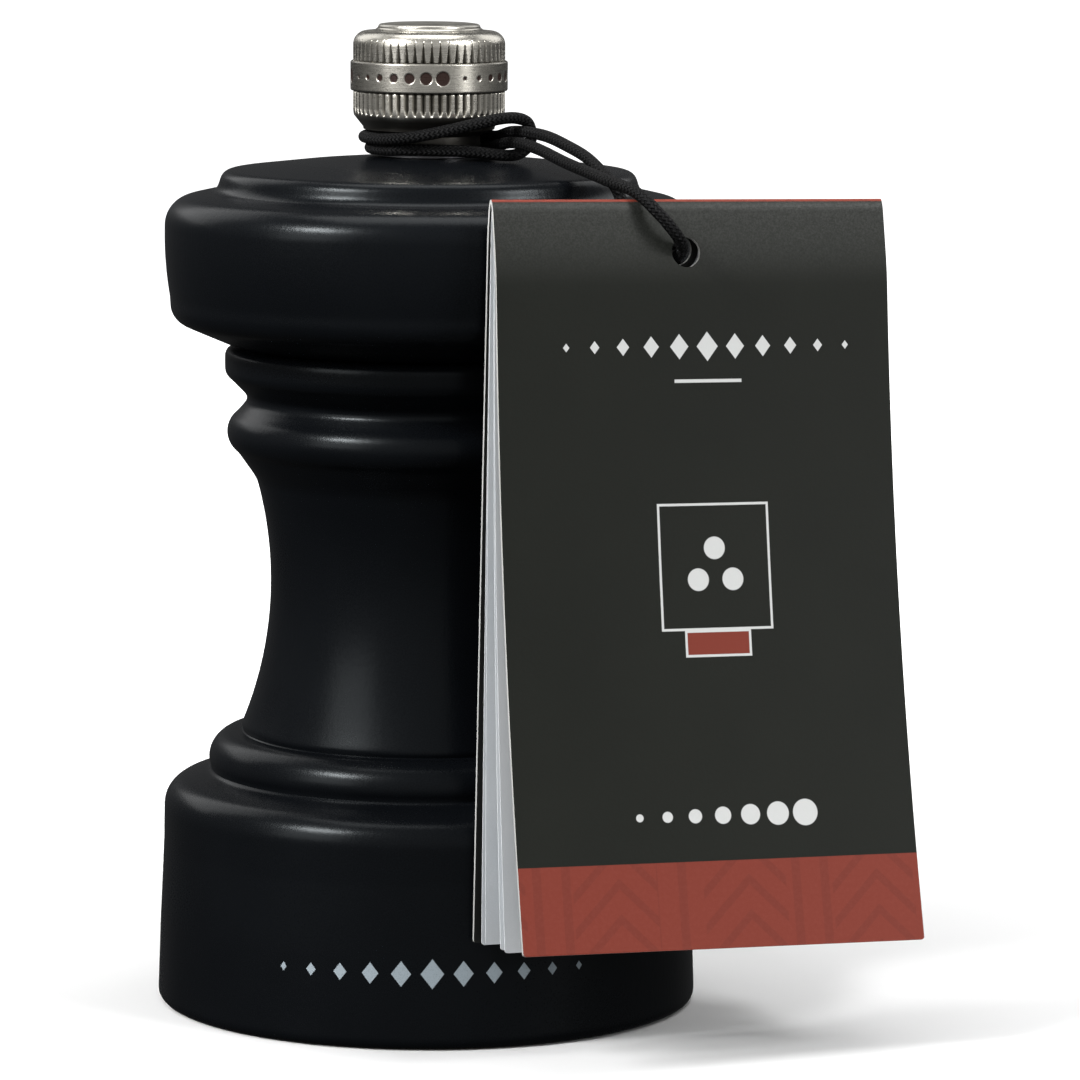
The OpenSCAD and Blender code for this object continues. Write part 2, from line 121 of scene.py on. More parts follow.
class Nodes:
    """A material's node tree, with short calls for the maths that the patterns are drawn with."""

    def __init__(self, name):
        self.material = bpy.data.materials.new(name)
        self.material.use_nodes = True
        self.tree = self.material.node_tree
        self.shader = self.tree.nodes["Principled BSDF"]
        self.made = {}

    def put(self, socket, value):
        if isinstance(value, bpy.types.NodeSocket):
            self.tree.links.new(value, socket)
        else:
            socket.default_value = value

    def node(self, kind, **inputs):
        n = self.tree.nodes.new(kind)
        for key, value in inputs.items():
            self.put(n.inputs[key.replace("_", " ")], value)
        return n

    def math(self, operation, *values):
        n = self.tree.nodes.new("ShaderNodeMath")
        n.operation = operation
        for i, value in enumerate(values):
            self.put(n.inputs[i], value)
        return n.outputs[0]

    def add(self, *v):
        out = v[0]
        for x in v[1:]:
            out = self.math("ADD", out, x)
        return out

    def sub(self, a, b):
        return self.math("SUBTRACT", a, b)

    def mul(self, *v):
        out = v[0]
        for x in v[1:]:
            out = self.math("MULTIPLY", out, x)
        return out

    def div(self, a, b):
        return self.math("DIVIDE", a, b)

    def absolute(self, a):
        return self.math("ABSOLUTE", a)

    def most(self, a, b):
        return self.math("MAXIMUM", a, b)

    def position(self):
        """Object coordinates, in millimetres."""
        if "position" not in self.made:
            place = self.tree.nodes.new("ShaderNodeTexCoord").outputs["Object"]
            scale = self.tree.nodes.new("ShaderNodeVectorMath")
            scale.operation = "SCALE"
            scale.inputs["Scale"].default_value = 1 / MM
            self.tree.links.new(place, scale.inputs[0])
            split = self.node("ShaderNodeSeparateXYZ", Vector=scale.outputs[0])
            self.made["position"] = (scale.outputs[0], *split.outputs)
        return self.made["position"]

    def sheet(self):
        """The sheet coordinates of a mesh made here: across and along, in millimetres."""
        if "sheet" not in self.made:
            uv = self.tree.nodes.new("ShaderNodeUVMap")
            uv.uv_map = "sheet"
            split = self.node("ShaderNodeSeparateXYZ", Vector=uv.outputs[0])
            across, along = (self.mul(split.outputs[k], UV_SCALE) for k in (0, 1))
            self.made["sheet"] = (across, along)
        return self.made["sheet"]

    def attribute(self, name):
        n = self.tree.nodes.new("ShaderNodeAttribute")
        n.attribute_name = name
        return n.outputs["Fac"]

    def vector(self, x, y, z):
        return self.node("ShaderNodeCombineXYZ", X=x, Y=y, Z=z).outputs[0]

    def noise(self, vector, scale, detail=3.0, roughness=0.5):
        n = self.node("ShaderNodeTexNoise", Vector=vector, Scale=scale, Detail=detail,
                      Roughness=roughness)
        return n.outputs[0]

    def stretched(self, x, y, z):
        """Object coordinates in millimetres, each multiplied by its own number."""
        p = self.position()
        return self.vector(self.mul(p[1], x), self.mul(p[2], y), self.mul(p[3], z))

    def span(self, value, low, high, to_low=0.0, to_high=1.0):
        n = self.tree.nodes.new("ShaderNodeMapRange")
        n.clamp = True
        for i, v in enumerate((value, low, high, to_low, to_high)):
            self.put(n.inputs[i], v)
        return n.outputs[0]

    def mix(self, factor, a, b):
        n = self.tree.nodes.new("ShaderNodeMix")
        n.data_type = "RGBA"
        self.put(n.inputs[0], factor)
        self.put(n.inputs[6], a)
        self.put(n.inputs[7], b)
        return n.outputs[2]

    def bump(self, height, strength, distance):
        n = self.node("ShaderNodeBump", Height=height, Strength=strength, Distance=distance)
        if "normal" in self.made:
            self.put(n.inputs["Normal"], self.made["normal"])
        self.made["normal"] = n.outputs[0]
        self.put(self.shader.inputs["Normal"], n.outputs[0])

    def surface(self, **inputs):
        for key, value in inputs.items():
            self.put(self.shader.inputs[key.replace("_", " ")], value)
        return self.material


def rgb(r, g, b):
    return (r, g, b, 1.0)


PAINT_DARK, PAINT_LIGHT = rgb(0.0022, 0.0027, 0.0036), rgb(0.0034, 0.0041, 0.0052)
PRINT_INK = rgb(0.36, 0.42, 0.46)
WOOD_DARK, WOOD_LIGHT, WOOD_PORE = rgb(0.42, 0.25, 0.13), rgb(0.6, 0.4, 0.23), rgb(0.25, 0.13, 0.06)
# The first colour is the dark of the shade painted on the knob; BAND_INK fills the band's marks.
PAINTED_SHADE_COLOUR, BAND_INK = rgb(0.03, 0.028, 0.025), rgb(0.035, 0.018, 0.014)
CARD, CARD_DARK = rgb(0.0128, 0.0142, 0.0112), rgb(0.0108, 0.0121, 0.0096)
# The second colour here is the painted sheen near the card's fold.
CARD_SPECK, CARD_SHEEN = rgb(0.03, 0.032, 0.029), rgb(0.066, 0.068, 0.064)
TERRACOTTA = rgb(0.208, 0.041, 0.027)
TERRACOTTA_DARK, TERRACOTTA_LIGHT = rgb(0.148, 0.032, 0.023), rgb(0.25, 0.058, 0.042)
PALE = rgb(0.66, 0.67, 0.66)
CORD_DARK, CORD_LIGHT = rgb(0.0010, 0.0010, 0.0012), rgb(0.0058, 0.0058, 0.0062)


def make_paint():
    """Satin black lacquer over turned wood, with the ornament printed on the front of its foot."""
    n = Nodes("black_paint")
    cloud = n.noise(n.stretched(0.05, 0.05, 0.05), 1.0, 4)
    grain = n.noise(n.stretched(2.2, 2.2, 0.16), 1.0, 5, 0.6)
    peel = n.noise(n.position()[0], 1.6, 2)
    dust = n.noise(n.position()[0], 6.0, 2)
    n.bump(grain, 0.05, 0.0002)
    n.bump(peel, 0.05, 0.0002)
    colour = n.mix(n.span(cloud, 0.3, 0.7), PAINT_DARK, PAINT_LIGHT)
    rough = n.add(n.span(cloud, 0.3, 0.7, 0.23, 0.29), n.span(dust, 0.35, 0.75, 0.0, 0.05))
    place, x, y, z = n.position()
    angle = n.math("ARCTAN2", y, x)
    along = n.mul(n.sub(angle, math.radians(PRINT_AZIMUTH)), PRINT_RADIUS)
    mark = ornament(n, along, n.sub(z, PRINT_Z), PRINT_WIDTH, PRINT_HALF_HEIGHT)
    front = n.math("LESS_THAN", y, 0.0)
    low = n.math("LESS_THAN", z, PRINT_BELOW)
    ink = n.mul(mark, front, low)
    worn = n.span(n.noise(place, 9.0, 2), 0.3, 0.45)
    colour = n.mix(n.mul(ink, n.add(0.75, n.mul(worn, 0.25))), colour, PRINT_INK)
    return n.surface(Base_Color=colour, Roughness=rough, Specular_IOR_Level=0.125,
                     Specular_Tint=rgb(0.9, 0.97, 1.0))


def ornament(n, x, y, width, half_height):
    """A plain row of eleven lozenges, tallest in the middle: 1 inside them, 0 outside."""
    pitch = width / 11
    place = n.div(x, pitch)
    step = n.math("ROUND", place)
    inside = n.absolute(n.mul(n.sub(place, step), pitch))
    size = n.span(n.absolute(step), 0.0, 5.0, half_height, 0.3 * half_height)
    across = n.div(inside, n.mul(size, 0.78))
    up = n.div(n.absolute(y), size)
    shape = n.span(n.add(across, up), 0.97, 1.03, 1.0, 0.0)
    return n.mul(shape, n.math("LESS_THAN", n.absolute(step), 5.5))


def make_wood():
    n = Nodes("bare_wood")
    rings = n.noise(n.stretched(0.35, 0.35, 0.03), 1.0, 5, 0.6)
    pores = n.noise(n.stretched(5.0, 5.0, 0.4), 1.0, 3)
    colour = n.mix(n.span(rings, 0.3, 0.7), WOOD_DARK, WOOD_LIGHT)
    colour = n.mix(n.span(pores, 0.55, 0.75, 0.0, 0.5), colour, WOOD_PORE)
    n.bump(pores, 0.3, 0.0002)
    return n.surface(Base_Color=colour, Roughness=n.span(rings, 0.3, 0.7, 0.55, 0.7))


def make_metal(name, dark, light, rough, brushed, shade_and_ink=False, bump=0.08):
    """A metal with fine machining lines: brushed says how closely they change along x, y and z.

    When asked, the mesh's own values paint shade into the flute valleys, the band's edge grooves
    and the neck, and ink into the band's marks."""
    n = Nodes(name)
    lines = n.noise(n.stretched(*brushed), 1.0, 4, 0.65)
    cloud = n.noise(n.position()[0], 0.35, 3)
    mottle = n.noise(n.position()[0], 3.5, 3)
    n.bump(lines, bump, 0.0001)
    tone = n.add(n.mul(n.span(lines, 0.3, 0.7), 0.5), n.mul(n.span(cloud, 0.3, 0.7), 0.5))
    colour = n.mix(tone, rgb(*dark), rgb(*light))
    roughness = n.add(n.span(lines, 0.3, 0.7, rough - 0.05, rough + 0.05),
                      n.span(mottle, 0.4, 0.7, 0.0, 0.05))
    metallic = 1.0
    if shade_and_ink:
        # Painted shade: the first value darkens the flute valleys, the band's edge grooves and the
        # neck towards near black; the second fills the band's marks with ink.
        painted_shade, ink = n.attribute("painted_shade"), n.attribute("ink")
        colour = n.mix(n.mul(painted_shade, 0.94), colour, PAINTED_SHADE_COLOUR)
        colour = n.mix(n.span(ink, 0.35, 0.65), colour, BAND_INK)
        metallic = n.span(ink, 0.35, 0.65, 1.0, 0.35)
        roughness = n.add(roughness, n.mul(painted_shade, 0.12))
    return n.surface(Base_Color=colour, Roughness=roughness, Metallic=metallic)


def make_plastic(name, dark, light, rough):
    n = Nodes(name)
    cloud = n.noise(n.position()[0], 0.25, 3)
    spark = n.noise(n.position()[0], 9.0, 2)
    n.bump(spark, 0.12, 0.0001)
    colour = n.mix(n.span(cloud, 0.3, 0.7), rgb(*dark), rgb(*light))
    roughness = n.span(spark, 0.3, 0.7, rough - 0.06, rough + 0.06)
    return n.surface(Base_Color=colour, Roughness=roughness)


def band_pattern(n, x, v):
    """Plain bars and zigzags for the strip along the card's edge: 1 on a line, 0 between."""

    def lines(value, pitch, share):
        return n.math("LESS_THAN", n.math("FRACT", n.div(value, pitch)), share)

    zigzag = n.math("PINGPONG", n.add(x, SHIFT), 7.0)
    slanting = lines(n.add(v, zigzag, 50.0), 3.6, 0.3)
    upright = lines(n.add(x, SHIFT), 3.1, 0.3)
    which = lines(n.add(x, SHIFT + 3.0), 14.0, 0.36)
    return n.add(n.mul(upright, which), n.mul(slanting, n.sub(1.0, which)))


def past_box(n, x, y, half_w, half_h):
    """How far a point is outside a rectangle; negative inside it."""
    return n.most(n.sub(n.absolute(x), half_w), n.sub(n.absolute(y), half_h))


def outlined(n, x, y, half_w, half_h):
    """1 on the outline of a rectangle."""
    out = n.absolute(past_box(n, x, y, half_w, half_h))
    return n.span(out, LINE_THICK / 2, LINE_THICK / 2 + 0.05, 1.0, 0.0)


def filled(n, x, y, half_w, half_h):
    """1 inside a rectangle."""
    return n.span(past_box(n, x, y, half_w, half_h), -0.03, 0.03, 1.0, 0.0)


def dot(n, x, y, r):
    """1 inside a circle."""
    far = n.math("SQRT", n.add(n.mul(x, x), n.mul(y, y)))
    return n.span(n.sub(far, r), -0.04, 0.04, 1.0, 0.0)


def growing_dots(n, x, y, width, smallest, largest):
    """A row of seven dots that grow from fine to coarse."""
    pitch = width / 7
    place = n.div(x, pitch)
    step = n.math("ROUND", place)
    inside = n.mul(n.sub(place, step), pitch)
    shape = dot(n, inside, y, n.span(step, -3.0, 3.0, smallest, largest))
    return n.mul(shape, n.math("LESS_THAN", n.absolute(step), 3.5))


def card_marks(n, x, v):
    """The card's pale marks: lozenges, a rule, a box of three dots, a label and growing dots."""
    box_x, box_v = n.sub(x, BOX_X), n.sub(v, BOX_V)
    label_v = n.sub(v, BOX_V + LABEL_DROP)
    marks = [
        filled(n, n.sub(x, ORNAMENT_X), n.sub(v, RULE_V), 3.7, 0.17),
        outlined(n, box_x, box_v, 6.0, 6.35),
        *(dot(n, n.sub(x, BOX_X + dx), n.sub(v, BOX_V + dv), BOX_DOT_R) for dx, dv in BOX_DOTS),
        outlined(n, box_x, label_v, 3.5, 1.25),
        growing_dots(n, n.sub(x, DOTS_X), n.sub(v, DOTS_V), DOTS_WIDTH, 0.4, 1.35),
    ]
    mark = ornament(n, n.sub(x, ORNAMENT_X), n.sub(v, ORNAMENT_V), 34.0, 1.5)
    for another in marks:
        mark = n.most(mark, another)
    return mark, filled(n, box_x, label_v, 3.4, 1.15)


def make_card(name):
    """The cover's outer side. down runs from the fold to the edge, and is negative on the back."""
    n = Nodes(name)
    x, down = n.sheet()
    v = n.absolute(down)
    grain = n.noise(n.vector(x, v, 0.0), 2.2, 4, 0.65)
    speck = n.noise(n.vector(x, v, 4.0), 9.0, 2)
    cloud = n.noise(n.vector(x, v, 9.0), 0.06, 3)
    colour = n.mix(n.span(cloud, 0.3, 0.7), CARD, CARD_DARK)
    colour = n.mix(n.span(speck, 0.62, 0.75, 0.0, 0.35), colour, CARD_SPECK)
    # Painted sheen: light specks near the fold, where the bend catches the light, fading out about
    # 9 mm down.
    sheen_specks = n.noise(n.vector(x, v, 7.0), 5.5, 4, 0.7)
    painted_sheen = n.mul(n.span(v, 0.6, 9.0, 1.0, 0.0), n.span(sheen_specks, 0.4, 0.66, 0.25, 1.0))
    colour = n.mix(n.mul(painted_sheen, 0.7), colour, CARD_SHEEN)
    strip = n.span(v, STRIP_FROM - 0.03, STRIP_FROM + 0.03)
    fold = n.span(v, *FOLD_LINE_TO, 1.0, 0.0)
    darker = n.mul(band_pattern(n, x, v), 0.4)
    red = n.mix(darker, TERRACOTTA, TERRACOTTA_DARK)
    red = n.mix(n.span(grain, 0.45, 0.7, 0.0, 0.25), red, TERRACOTTA_LIGHT)
    colour = n.mix(n.most(strip, fold), colour, red)
    mark, label = card_marks(n, x, v)
    front = n.math("GREATER_THAN", down, 0.0)
    colour = n.mix(n.mul(label, front), colour, TERRACOTTA)
    colour = n.mix(n.mul(mark, front, 0.95), colour, PALE)
    n.bump(grain, 0.12, 0.0001)
    return n.surface(Base_Color=colour, Roughness=n.span(grain, 0.3, 0.7, 0.34, 0.48),
                     Specular_IOR_Level=0.12)


def make_paper(name, dark, light):
    n = Nodes(name)
    x, v = n.sheet()
    fibre = n.noise(n.vector(n.mul(x, 0.6), v, 0.0), 5.0, 4, 0.6)
    cloud = n.noise(n.vector(x, v, 3.0), 0.12, 2)
    colour = n.mix(n.span(cloud, 0.3, 0.7), rgb(*dark), rgb(*light))
    n.bump(fibre, 0.15, 0.0001)
    return n.surface(Base_Color=colour, Roughness=n.span(fibre, 0.3, 0.7, 0.5, 0.65))


def make_cord_material():
    """Black braided elastic: two sets of strands that cross, from the tube's own coordinates."""
    n = Nodes("braided_elastic")
    around, along = n.sheet()
    turn = n.mul(around, BRAID_STRANDS)
    travel = n.div(along, BRAID_LAY / 2)
    ways = [n.add(turn, travel, 100.0), n.add(n.sub(turn, travel), 100.0)]
    right, left = (n.math("SINE", n.mul(n.math("FRACT", way), math.pi)) for way in ways)
    crossing = n.add(*(n.math("FLOOR", way) for way in ways))
    over = n.math("LESS_THAN", n.math("FRACT", n.mul(crossing, 0.5)), 0.25)
    height = n.add(n.mul(right, over), n.mul(left, n.sub(1.0, over)))
    fuzz = n.noise(n.vector(n.mul(around, 30.0), n.mul(along, 12.0), 0.0), 1.0, 3)
    n.bump(height, 1.0, 0.00013)
    n.bump(fuzz, 0.3, 0.00004)
    # The strands are painted darker where they dip under one another: painted shade, with some
    # random fuzz.
    tone = n.add(n.mul(height, 0.8), n.mul(fuzz, 0.2))
    colour = n.mix(n.span(tone, 0.2, 0.95), CORD_DARK, CORD_LIGHT)
    return n.surface(Base_Color=colour, Roughness=n.span(fuzz, 0.3, 0.7, 0.55, 0.7),
                     Specular_IOR_Level=0.15)


# ---- mesh helpers ----


def add_mesh(name, verts, faces, materials, face_material=None, sharp=30.0):
    """A smooth-shaded mesh, with edges sharper than the angle kept crisp. Points in millimetres."""
    mesh = bpy.data.meshes.new(name)
    mesh.from_pydata((np.asarray(verts, float) * MM).tolist(), [], [list(f) for f in faces])
    for material in materials:
        mesh.materials.append(material)
    if face_material is not None:
        mesh.polygons.foreach_set("material_index", np.asarray(face_material, np.int32))
    mesh.update()
    mesh.shade_smooth()
    mesh.set_sharp_from_angle(angle=math.radians(sharp))
    piece = bpy.data.objects.new(name, mesh)
    bpy.context.scene.collection.objects.link(piece)
    return piece


def finish_piece(piece, body, slot, *nodes):
    if nodes:
        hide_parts(*nodes)
    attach(piece, body)
    return piece


def set_sheet(piece, places):
    """Gives each face corner its place on the flat sheet, in millimetres, for Nodes.sheet."""
    layer = piece.data.uv_layers.new(name="sheet")
    layer.data.foreach_set("uv", (np.asarray(places) / UV_SCALE).astype(np.float32).ravel())


def angles_between(start, end, steps):
    return [math.radians(start + (end - start) * i / steps) for i in range(steps + 1)]


def arc(centre_r, centre_z, r, start, end, steps=24):
    return [(centre_r + r * math.cos(a), centre_z + r * math.sin(a))
            for a in angles_between(start, end, steps)]


def distance_along(line):
    return np.r_[0, np.cumsum(np.linalg.norm(np.diff(line, axis=0), axis=1))]


def resampled(line, along, at):
    return np.stack([np.interp(at, along, line[:, k]) for k in range(line.shape[1])], axis=1)


def eased(line, times):
    """The line with its bends smoothed that many times over; its ends stay."""
    out = line.copy()
    for _ in range(times):
        out[1:-1] = 0.5 * out[1:-1] + 0.25 * (out[:-2] + out[2:])
    return out


def softened(outline, spacing=0.3, reach=0.35):
    """An outline with points evenly spaced and its corners eased, as lacquer eases them."""
    line = np.array(outline, float)
    along = distance_along(line)
    at = np.linspace(0, along[-1], max(2, int(along[-1] / spacing)))
    fine = resampled(line, along, at)
    gap = at[:, None] - at[None]
    weight = np.exp(-0.5 * (gap / reach) ** 2)
    smooth = (weight @ fine) / weight.sum(1, keepdims=True)
    ends = np.minimum(at, along[-1] - at)[:, None]
    keep = np.clip(ends / (3 * reach), 0, 1)
    return (fine * (1 - keep) + smooth * keep).tolist()


def lathe(name, parts, materials, segments=256, closed=True, sharp=30.0):
    """A turned piece. parts are (points, material) runs of one outline in (radius, height)."""
    outline, material = [], []
    for points, which in parts:
        for p in points:
            if outline and math.dist(outline[-1], p) < 1e-4:
                continue
            outline.append(tuple(p))
            material.append(which)
    count = len(outline)
    verts, ring = [], []
    for r, z in outline:
        if r < 1e-6:
            ring.append([len(verts)] * segments)
            verts.append((0, 0, z))
            continue
        ring.append(list(range(len(verts), len(verts) + segments)))
        for k in range(segments):
            a = 2 * math.pi * k / segments
            verts.append((r * math.cos(a), r * math.sin(a), z))
    faces, face_material = [], []
    for i in range(count if closed else count - 1):
        j = (i + 1) % count
        for k in range(segments):
            m = (k + 1) % segments
            face = [ring[i][k], ring[i][m], ring[j][m], ring[j][k]]
            face = [v for n, v in enumerate(face) if v not in face[:n]]
            if len(face) > 2:
                faces.append(face)
                face_material.append(material[j])
    return add_mesh(name, verts, faces, materials, face_material, sharp)


# ---- the cord: the same route as in the CAD source, in millimetres ----

TAIL_IN = [(24.9, -18.2, 82.1), (24, -18.2, 82.9), (22.8, -18.5, 83.7), (21.4, -19, 84.8),
           (20.3, -19.3, 86.1), (19.8, -18.8, 87.3), (19.2, -17.8, 88.3), (18, -16.1, 89.4),
           (16.5, -13.8, 90.7), (14.5, -11.2, 91.7), (12.4, -8.2, 92.5), (10.2, -5.4, 92.75),
           (8.6, -3.4, 92.65), (7.4, -1.4, 92.1)]
BIGHT = [(-2.05, -7.2, 92.2), (0.7, -7.7, 92.7), (3.4, -7.5, 93.3), (6, -7.1, 93.9),
         (7.8, -6.2, 94.2), (9.2, -5.1, 94.2), (10.4, -4.2, 93.7), (10.8, -3.9, 92.3),
         (10.4, -4.1, 91.1), (9.4, -4.7, 90.4), (8.2, -5.3, 90.3), (6.6, -5.8, 90.45),
         (4.8, -6.1, 90.7), (2.5, -6.4, 90.8), (-0.2, -6.4, 90.85), (-2.6, -5.8, 90.85)]
TAIL_OUT = [(6.65, -1.3, 90.9), (7.4, -3, 91.25), (8.5, -4.6, 91.6), (9.9, -6.4, 91.6),
            (11.8, -9.1, 91.1), (14.3, -13.1, 90.1), (17.1, -17.4, 89.2), (18.6, -19.7, 88.7),
            (20.1, -21.5, 88.3), (21.4, -23, 87.8), (22.4, -24, 87.1), (23.3, -24.6, 86.2),
            (24.3, -24.8, 85.2), (25.2, -24.6, 84.1), (25.9, -24, 83.1), (26.2, -23, 82.2),
            (26.1, -21.8, 81.6), (25.8, -20.5, 81.2), (25.4, -19.3, 81)]
# Radius and height of the two turns round the neck, and the azimuths that they run between
UPPER_WRAP, LOWER_WRAP = (6.85, 91.9), (6.2, 90.76)
WRAP_ANGLES = (12, 228)
CORD_D = 1.25
CORD_SIDES = 16
KNOT = (25, -18.6, 81.4)
KNOT_SIZE = 0.62


def wrap(r, z, start, end):
    """Ten points round the knob's neck."""
    return [(r * math.cos(a), r * math.sin(a), z) for a in angles_between(start, end, 9)]


def cord_points():
    upper, lower = wrap(*UPPER_WRAP, *WRAP_ANGLES), wrap(*LOWER_WRAP, *reversed(WRAP_ANGLES))
    return [*TAIL_IN, *upper, *BIGHT, *lower, *TAIL_OUT]


def smooth_path(points, spacing):
    """A smooth curve through the points, at even spacing, and its length."""
    p = np.array(points, float)
    p = np.vstack([2 * p[0] - p[1], p, 2 * p[-1] - p[-2]])
    out = []
    for i in range(1, len(p) - 2):
        a, b, c, d = p[i - 1], p[i], p[i + 1], p[i + 2]
        for t in np.linspace(0, 1, 12, endpoint=False):
            out.append(0.5 * (2 * b + (c - a) * t + (2 * a - 5 * b + 4 * c - d) * t**2
                              + (3 * b - a - 3 * c + d) * t**3))
    out.append(p[-2])
    line = eased(np.array(out), 12)
    along = distance_along(line)
    at = np.linspace(0, along[-1], int(along[-1] / spacing) + 1)
    return resampled(line, along, at), along[-1]


def tube(name, line, r, sides, material):
    """A tube round a line, with flat ends and sheet coordinates round and along it."""
    tangent = np.gradient(line, axis=0)
    tangent /= np.linalg.norm(tangent, axis=1, keepdims=True)
    across = np.cross(tangent[0], (0.3, 0.2, 1.0))
    across /= np.linalg.norm(across)
    verts, travelled = [], [0.0]
    for i, p in enumerate(line):
        across = across - (across @ tangent[i]) * tangent[i]
        across /= np.linalg.norm(across)
        other = np.cross(tangent[i], across)
        if i:
            travelled.append(travelled[-1] + np.linalg.norm(p - line[i - 1]))
        for k in range(sides):
            a = 2 * math.pi * k / sides
            verts.append(p + r * math.cos(a) * across + r * math.sin(a) * other)
    faces, places = [], []
    for i in range(len(line) - 1):
        for k in range(sides):
            m = (k + 1) % sides
            faces.append((i * sides + k, i * sides + m, (i + 1) * sides + m, (i + 1) * sides + k))
            for s, t in ((k, i), (k + 1, i), (k + 1, i + 1), (k, i + 1)):
                places.append((s / sides, travelled[t]))
    last = (len(line) - 1) * sides
    faces.append(tuple(reversed(range(sides))))
    faces.append(tuple(range(last, last + sides)))
    places += [(0.0, 0.0)] * sides + [(0.0, travelled[-1])] * sides
    piece = add_mesh(name, verts, faces, [material], sharp=60)
    set_sheet(piece, places)
    return piece


def make_cord(material):
    line, length = smooth_path(cord_points(), 0.16)
    piece = tube("cord", line, CORD_D / 2, CORD_SIDES, material)
    # the knot behind the card: one small closed loop that winds over itself
    t = np.linspace(0, 2 * math.pi, 140)
    ring = np.stack([KNOT_SIZE * (np.sin(t) + 1.5 * np.sin(2 * t)),
                     KNOT_SIZE * (np.cos(t) - 1.5 * np.cos(2 * t)), -0.55 * np.sin(3 * t)], axis=1)
    yaw = Matrix.Rotation(math.radians(TAG_YAW), 3, "Z")
    turned = np.array(yaw @ Matrix.Rotation(math.pi / 2, 3, "X"))
    knot = tube("cord_knot_loop", ring @ turned.T + np.array(KNOT), 0.56, 14, material)
    finish_piece(piece, "tag", "elastic_cord", "tag_cord")
    finish_piece(knot, "tag", "elastic_cord", "cord_knot")


# ---- the tag ----

# The middle of the fold; the tag's angles in degrees; its size folded
TAG_PLACE = (27.0, -20.9, 87.0)
TAG_YAW, TAG_TILT = 22.2, 1.1
TAG_WIDTH, TAG_LENGTH = 43.3, 76.0
COVER_T, LEAF_T = 0.35, 0.1
HOLE_X, HOLE_Z, HOLE_D, LEAF_HOLE_D = -0.85, -5.3, 3.1, 4.3
# The square round the hole that is meshed in rings: half its side, steps a side, and rings
HOLE_PATCH, HOLE_STEPS, HOLE_RINGS = 2.4, 16, 5
# Rounding of a sheet's corners, and how far its panels bow
SHEET_ROUND = 0.3
SHEET_BOW = 0.25


def tag_matrix():
    yaw = Matrix.Rotation(math.radians(TAG_YAW), 4, "Z")
    tilt = Matrix.Rotation(math.radians(TAG_TILT), 4, "Y")
    return Matrix.Translation(Vector(TAG_PLACE)) @ yaw @ tilt


def run(low, high, gap):
    """Even stations from low up to high, without high itself."""
    return np.linspace(low, high, max(2, round((high - low) / gap) + 1))[:-1]


def hole_loop(top, left):
    """The grid points round the square at a hole, as (row, column), in order."""
    n = HOLE_STEPS
    loop = [(top, left + k) for k in range(n)] + [(top + k, left + n) for k in range(n)]
    loop += [(top + n, left + n - k) for k in range(n)] + [(top + n - k, left) for k in range(n)]
    return loop


